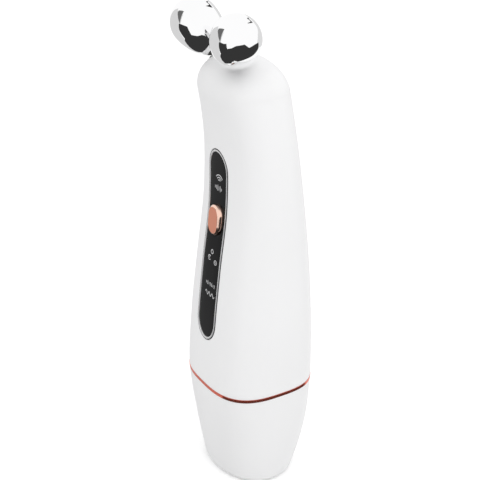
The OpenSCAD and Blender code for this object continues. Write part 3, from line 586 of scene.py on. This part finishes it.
def black_gloss(shade):
    """Clear hard coat over black: fine dust-like grain far below the gloss."""
    cloud = noise(shade, 70)
    speck = noise(shade, 2600, 1)
    return {"Base Color": blend_colour(shade, cloud, (0.004, 0.004, 0.0045),
                                       (0.006, 0.006, 0.0065)),
            "Roughness": 0.06 + cloud * 0.05 + speck * 0.03,
            "Normal": bump(shade, cloud, 4e-6)}


gloss_black = finish_of("gloss_black", black_gloss, specular_ior_level=0.08)
weld("panel_lens", [(np.stack(lens_rows), True, True)], gloss_black, "housing", ["panel"],
     sharp=50)


def stroke(line, width=0.28, closed=False):
    """Raised ink line: a flat strip of a width along (x, z) points, with square ends."""
    line = np.asarray(line, float)
    ahead = np.roll(line, -1, axis=0) if closed else np.vstack([line[1:], 2 * line[-1] - line[-2]])
    behind = np.roll(line, 1, axis=0) if closed else np.vstack([2 * line[0] - line[1], line[:-1]])
    along = ahead - behind
    along /= np.linalg.norm(along, axis=1)[:, None]
    out = np.stack([along[:, 1], -along[:, 0]], axis=1) * width / 2
    corners = [on_face(line + side * out, lens_depth + sunk) for side, sunk in
               [(-1, ink_sunk), (-1, -ink_proud), (1, -ink_proud), (1, ink_sunk)]]
    grid = np.stack(corners, axis=1)
    if closed:
        return [(grid, True, True)]
    ends = [(end[[0, 1, 3, 2]].reshape(2, 2, 3),) for end in (grid[0], grid[-1])]
    return [(grid, True)] + ends


def arc(cx, cz, radius, start, stop, count=25):
    """(x, z) points on a circle's arc, angles in degrees from +X towards +Z."""
    a = np.radians(np.linspace(start, stop, count))
    return np.stack([cx + radius * np.cos(a), cz + radius * np.sin(a)], axis=1)


def bars(z, talls, pitch, width=0.28):
    """Row of upright strokes, a pitch apart, each reaching tall above and below z."""
    row = []
    for i, tall in enumerate(talls):
        x = marks_left + i * pitch
        row += stroke([(x, z - tall), (x, z + tall)], width)
    return row


marks_left, marks_right = -2.1, 4.1
arcs_z, bars_z, ring_z, hook_z, dial_z, rules_z, wave_z = 122.7, 120.2, 95.5, 92.8, 92.2, 82.9, 79
marks = []
for radius in (0.8, 1.7, 2.6):
    marks += stroke(arc(0.7, arcs_z, radius, 35, 145), 0.34)
marks += bars(bars_z, (0.5, 0.8, 1.1, 0.8, 1.1, 0.5), 0.9)
marks += stroke(arc(-0.2, ring_z, 0.75, 0, 354, 40), closed=True)
marks += stroke(arc(-1.6, hook_z, 0.9, 40, 320, 30))
marks += stroke([(-1.6, hook_z - 0.4), (-1.6, hook_z + 0.8)])
marks += stroke(arc(2.7, dial_z, 0.8, 0, 354, 40), closed=True)
marks += stroke([(2.3, dial_z), (3.1, dial_z)])
marks += bars(rules_z, (0.5, 0.7, 0.5, 0.7, 0.7, 0.5, 0.7), 0.95, 0.3)
wave = np.linspace(marks_left - 0.1, marks_right, 60)
wave_turn = (wave - wave[0]) * 2 * np.pi / 2.1
marks += stroke(np.stack([wave, wave_z + 0.7 * np.sin(wave_turn)], axis=1))
ink = moulded("pale_ink", (0.6, 0.6, 0.61), 0.5, grain=0.1, spread=0.05)
weld("panel_marks", marks, ink, "housing")

# ---- Bezel ----
# A thin silver plated frame round the lens, with a small chamfer on both edges, set into
# the slot. A black strip round its skirt is painted shade that stands in for the gap's shadow.
bezel_low, bezel_high, bezel_crest, bezel_chamfer = 0.05, 0.85, -0.1, 0.25
skirt_end, gap_shade_width, gap_shade_tuck = pocket_depth - 0.03, 0.1, 0.04
bezel_counts = (40, 110, 40, 110)
# One half of the frame's section: how far in from its edge, and how deep.
bezel_half = [(0, skirt_end), (0, 0.1), (0.03, 0.02), (bezel_chamfer, bezel_crest + 0.015),
              (bezel_chamfer + 0.05, bezel_crest)]
bezel_rows = [on_face(slot_line(bezel_high - inwards, bezel_counts), depth)
              for inwards, depth in bezel_half]
bezel_rows += [on_face(slot_line(bezel_low + inwards, bezel_counts), depth)
               for inwards, depth in bezel_half[::-1]]
bright_silver = plated("bright_silver", (0.94, 0.94, 0.945), 0.32, 0.02)
weld("silver_bezel", [(np.stack(bezel_rows), True, True)], bright_silver, "housing",
     ["panel_bezel"], sharp=25)
# Painted shade: a black strip round the frame's skirt, in place of the shadow in the gap between
# the frame and the slot.
gap_shade_rows = [on_face(slot_line(off, bezel_counts), depth) for off, depth in [
    (bezel_high + gap_shade_width, 0.0), (bezel_high + gap_shade_width, skirt_end),
    (bezel_high - gap_shade_tuck, skirt_end), (bezel_high - gap_shade_tuck, 0.0)]]
painted_gap_shade = moulded("painted_gap_shade", (0.012, 0.012, 0.012), 0.7, 0.3, 0.1)
weld("bezel_gap_shade", [(np.stack(gap_shade_rows), True, True)], painted_gap_shade, "housing")

# ---- Mode button ----
# A copper-coloured push button: a satin face inside a polished chamfer, with a flange
# behind the casing's wall that keeps it in, and a stem on the switch.
button_y = float(face_y(np.array([0.0]), np.array([button_z]))[0])
face_half, cap_half, flange_half = 3.1, 3.8, 4.8
cap_straight = hole_straight
# Depths along the button's own axis: how proud the face is, where the chamfer, the
# flange and the stem end.
face_depth, chamfer_end, flange_start, flange_end, stem_end = -1.5, -0.78, 2.7, 3.5, 5.0
stem_radius = 1.6
button_counts = (34, 24, 34, 24)


def in_button_frame(points, depth):
    """Puts (x, z) points at a depth along the button's axis: turned by the panel's tilt
    about X, then moved to the middle of the button on the casing's face."""
    x, z = points[:, 0], points[:, 1]
    c, s = math.cos(panel_tilt), math.sin(panel_tilt)
    return np.stack([x, button_y + depth * c + z * s, button_z - depth * s + z * c], axis=1)


def pill(half, depth, share=1.0):
    """Loop of the button, half wide to each side, at a depth and shrunk to a share."""
    line = racetrack(0, cap_straight * share, half * share, half * share, button_counts)
    return in_button_frame(line, depth)


button_face = [pill(face_half - 0.1, face_depth, share) for share in np.linspace(0.1, 0.9, 9)]
button_side = [pill(half, depth) for half, depth in [
    (face_half - 0.08, face_depth), (face_half, face_depth + 0.02),
    (face_half + 0.05, face_depth + 0.07), (cap_half - 0.05, chamfer_end - 0.08),
    (cap_half, chamfer_end), (cap_half, flange_start), (flange_half, flange_start),
    (flange_half, flange_end)]]
stem_turn = np.linspace(0, 2 * np.pi, len(button_side[0]), endpoint=False) - 0.75 * np.pi
stem_circle = stem_radius * np.stack([np.cos(stem_turn), np.sin(stem_turn)], axis=1)
stem = [in_button_frame(stem_circle, depth) for depth in (flange_end, stem_end)]


def button_look(shade):
    """Copper plate, satin on the face and polished from the chamfer on: the depth below
    the casing's surface, along the button's axis, tells the two apart."""
    c, s = math.cos(panel_tilt), math.sin(panel_tilt)
    depth = shade.node("VectorMath", {"operation": "DOT_PRODUCT"},
                       {0: place_of(shade), 1: (0, c, -s)}, 1)
    polished = depth > (button_y * c - button_z * s + face_depth + 0.01) * MM
    cloud = noise(shade, 90)
    grain = noise(shade, 5000, 2)
    satin = blend_colour(shade, cloud, (0.655, 0.262, 0.168), (0.68, 0.275, 0.177))
    return {"Base Color": shade.node("Mix", {"data_type": "RGBA"}, {
                "Factor": polished, 6: satin, 7: (0.95, 0.66, 0.54, 1)}, 2),
            "Roughness": 0.5 + grain * 0.08 - polished * 0.42,
            "Metallic": 0.35 + polished * 0.65,
            "Normal": bump(shade, grain, 1e-6)}


satin_copper = finish_of("satin_copper", button_look)
weld("button_cap", [(np.stack(button_face + button_side + stem), True),
                    (lid(button_face[0]),), (lid(stem[-1]),)],
     satin_copper, "button", ["mode_button"])

# ---- Rollers ----
# Two egg-shaped shells, mirror chromed over a moulded core, each turning freely on its
# axle. The outer half is round; the longer inner half narrows to a mouth at the neck.
roller_radius, roller_length, roller_wall, mouth_radius = 8.7, 13.3, 0.8, 4.2
roller_columns = 200


def roller_line(inset, count):
    """Half profile as (radius, distance outwards): an ellipse from the mouth to the
    widest point, then a quarter circle out to the axis."""
    radius, length = roller_radius - inset, roller_length - inset
    t = np.linspace(math.acos(mouth_radius / radius), 0, count)[:-1]
    flank = np.stack([radius * np.cos(t), -length * np.sin(t)], axis=1)
    t = np.linspace(0, np.pi / 2, count)
    return np.concatenate([flank, np.stack([radius * np.cos(t), radius * np.sin(t)], axis=1)])


outer_line = roller_line(0, 64)
inner_line = roller_line(roller_wall, 24)
profile = np.concatenate([inner_line[::-1], outer_line])
spin = np.linspace(0, 2 * np.pi, roller_columns, endpoint=False)


def chrome_look(shade):
    """Electroplated chrome: a mirror with the faintest waviness and wipe marks."""
    wave = noise(shade, 90, 1)
    stretched = shade.node("Mapping", {}, {"Vector": place_of(shade), "Scale": (1, 6, 1)})
    wipe = noise(shade, 700, 3, stretched)
    return {"Base Color": blend_colour(shade, wave, (0.965, 0.965, 0.97), (0.985, 0.985, 0.99)),
            "Roughness": 0.02 + wipe * 0.03, "Normal": bump(shade, wave, 6e-6)}


chrome = finish_of("mirror_chrome", chrome_look, metallic=1.0)
for side, name in ((-1, "left_roller"), (1, "right_roller")):
    way = axle_way * [side, 1, 1]
    across = np.cross(way, [0, 0, 1.0])
    across /= np.linalg.norm(across)
    circle = (np.cos(spin)[:, None] * across + np.sin(spin)[:, None] * np.cross(way, across))
    grid = (ball_centre * [side, 1, 1] + profile[:, 1][:, None, None] * way
            + profile[:, 0][:, None, None] * circle[None])
    weld(name + "_ball", [(grid, True)], chrome, name, [name])

# ---- Inner parts ----
# The battery, board, motor, socket, leads, axles, seals and screws. They keep the exact
# shapes of the model, and each slot has one finish: moulded, plated or turned.
nodes = frame["nodes"]
finishes = {
    "dark_rubber": moulded("dark_rubber", (0.05, 0.05, 0.055), 0.75, 0.5, 0.15),
    "pale_rubber": moulded("pale_rubber", (0.62, 0.62, 0.62), 0.7, 0.5, 0.05),
    "steel": plated("bright_steel", (0.62, 0.62, 0.64), 0.25),
    "tape": moulded("tape_foam", (0.03, 0.03, 0.03), 0.8, 0.3, 0.1),
    "black_plastic": moulded("black_plastic", (0.03, 0.03, 0.03), 0.5, 0.4, 0.1),
    "red_plastic": moulded("red_plastic", (0.35, 0.03, 0.025), 0.45, 0.4, 0.05),
    "clear_plastic": moulded("clear_plastic", (0.8, 0.82, 0.84), 0.15, 0.3, 0.02),
    "lamp": moulded("lamp_dome", (0.9, 0.86, 0.75), 0.3, 0.3, 0.04),
    "board": moulded("solder_mask", (0.01, 0.12, 0.05), 0.35, 0.3, 0.15),
    "grey_plastic": moulded("grey_plastic", (0.35, 0.35, 0.35), 0.55, 0.4, 0.04),
    "cell_wrap": moulded("cell_wrap", (0.02, 0.09, 0.30), 0.3, 0.6, 0.06),
    "red_wire": moulded("wire_jacket", (0.42, 0.012, 0.016), 0.5, 0.3, 0.08),
    "brass": plated("turned_brass", (0.70, 0.50, 0.22), 0.22),
    "bronze": plated("sintered_bronze", (0.42, 0.24, 0.11), 0.5),
    "nylon": moulded("natural_nylon", (0.80, 0.78, 0.70), 0.45, 0.4, 0.02),
}
for part in frame["record"]["subparts"]:
    slot_name = part["material_slot"]
    if slot_name in finishes:
        mesh = nodes[part["node"]].data
        mesh.materials.clear()
        mesh.materials.append(finishes[slot_name])

# ---- Studio ----
# A pale floor under a white surround, soft light from above and from the right, and
# dark and grey cards that only mirrors see.
scene = bpy.context.scene
scene.view_settings.view_transform = "Standard"
world = bpy.data.worlds.new("studio")
scene.world = world
world.use_nodes = True
shade = Shade(world.node_tree)
background = world.node_tree.nodes["Background"]


def seen_directly(shade):
    """1 for rays from the camera, a mirror or glass, 0 for those that light a surface."""
    path = shade.node("LightPath", {}, {}, "Is Camera Ray")
    glossy = Shade(shade.tree, path.socket.node.outputs["Is Glossy Ray"])
    through = Shade(shade.tree, path.socket.node.outputs["Is Transmission Ray"])
    return (path + glossy + through) > 0.5


surround = 0.97
lit = blend_colour(shade, seen_directly(shade), (surround,) * 3, (1, 1, 1))
world.node_tree.links.new(lit.socket, background.inputs["Color"])

floor_mesh = bpy.data.meshes.new("floor")
floor_half, floor_z, floor_glow = 3, -5e-5, 0.2
floor_mesh.from_pydata([(x * floor_half, y * floor_half, floor_z)
                        for x, y in ((-1, -1), (1, -1), (1, 1), (-1, 1))], [], [(0, 1, 2, 3)])
floor = bpy.data.objects.new("floor", floor_mesh)
scene.collection.objects.link(floor)
floor.visible_glossy = False
floor_paint = bpy.data.materials.new("floor_paint")
floor_paint.use_nodes = True
shade = Shade(floor_paint.node_tree)
shader = floor_paint.node_tree.nodes["Principled BSDF"]
speckle = noise(shade, 300)
paint_colour = blend_colour(shade, speckle, (0.87,) * 3, (0.89,) * 3)
paint_glow = blend_colour(shade, seen_directly(shade), (0, 0, 0), (floor_glow,) * 3)
floor_paint.node_tree.links.new(paint_colour.socket, shader.inputs["Base Color"])
floor_paint.node_tree.links.new(paint_glow.socket, shader.inputs["Emission Color"])
shader.inputs["Emission Strength"].default_value = 1
shader.inputs["Roughness"].default_value = 0.9
floor_mesh.materials.append(floor_paint)
grip_middle = Vector((0, 0, 0.09))


def soft_lamp(name, azimuth, elevation, distance, size, power):
    """A square soft box, aimed at the grip from an azimuth and an elevation."""
    lamp = bpy.data.objects.new(name, bpy.data.lights.new(name, "AREA"))
    lamp.data.shape = "SQUARE"
    lamp.data.size = size
    lamp.data.energy = power
    a, e = math.radians(azimuth), math.radians(elevation)
    way = Vector((math.sin(a) * math.cos(e), -math.cos(a) * math.cos(e), math.sin(e)))
    lamp.location = grip_middle + way * distance
    lamp.rotation_euler = way.to_track_quat("Z", "Y").to_euler()
    lamp.visible_glossy = False
    scene.collection.objects.link(lamp)


soft_lamp("key", 100, 40, 1.2, 0.9, 2.35)
soft_lamp("top", 20, 80, 1.2, 1.0, 1.2)
head_middle = (0, -0.0136, 0.177)


def card(name, level, distance, azimuths, lows, highs):
    """A patch of a sphere round the head, as bright as level, at a distance in metres and
    between two edges that give elevations at azimuths, in degrees. Only mirrors see it."""
    columns, rows = 161, 9
    az = np.linspace(azimuths[0], azimuths[-1], columns)
    low, high = np.interp(az, azimuths, lows), np.interp(az, azimuths, highs)
    el = np.radians(low + (high - low) * np.linspace(0, 1, rows)[:, None])
    az = np.radians(az)
    points = distance * np.stack([np.sin(az) * np.cos(el), -np.cos(az) * np.cos(el),
                                  np.sin(el)], axis=-1) + head_middle
    corner = (np.arange(rows - 1)[:, None] * columns + np.arange(columns - 1)).ravel()
    faces = np.stack([corner, corner + 1, corner + columns + 1, corner + columns], axis=1)
    mesh = bpy.data.meshes.new(name)
    mesh.from_pydata(points.reshape(-1, 3), [], faces)
    sheet = bpy.data.objects.new(name, mesh)
    paint = bpy.data.materials.new(name)
    paint.use_nodes = True
    shader = paint.node_tree.nodes["Principled BSDF"]
    shader.inputs["Base Color"].default_value = (0, 0, 0, 1)
    shader.inputs["Specular IOR Level"].default_value = 0
    shader.inputs["Emission Color"].default_value = (level, level, level, 1)
    shader.inputs["Emission Strength"].default_value = 1
    mesh.materials.append(paint)
    sheet.visible_camera = sheet.visible_diffuse = sheet.visible_shadow = False
    sheet.visible_transmission = sheet.visible_volume_scatter = False
    scene.collection.objects.link(sheet)


card("dark_card", 0.035, 1.9,
     [-90, -59, -24, -18, -16, -11, 9, 21, 22, 42, 61, 97, 119, 140, 149, 171, 182],
     [-74, -80, -84, -85, -85, -85, -85, -82, -82, -84, -85, -86, -86, -86, -65, -44, -26],
     [-53, -52, -43, -24, -5, -2, -5, -3, -24, -20, -10, -6, -21, -15, -13, -11, -26])
card("grey_card", 0.67, 2.1, [-100, -92, -76, -60, -52, -31, -15, -5],
     [-58, -58, -55, -52, -52, -46, -20, 5], [-25, -10, 12, 30, 27, 43, 45, 30])
card("side_card", 0.14, 2.0, [-45, -30, -15, -9], [26, 18, 4, -3], [33, 40, 46, 20])
card("rear_card", 0.73, 2.1, [-197, -184, -163, -155, -142, -131, -123],
     [-16, -24, -22, -20, -18, -16, -14], [-7, 6, 11, 18, 20, 10, -5])
card("rear_mark", 0.03, 2.0, [-182, -160, -149, -142], [47, 24, 29, 20], [50, 31, 35, 24])
card("low_card", 0.84, 2.1, [-164, -138, -122, -90], [-60, -70, -75, -84],
     [-51, -43, -50, -76])
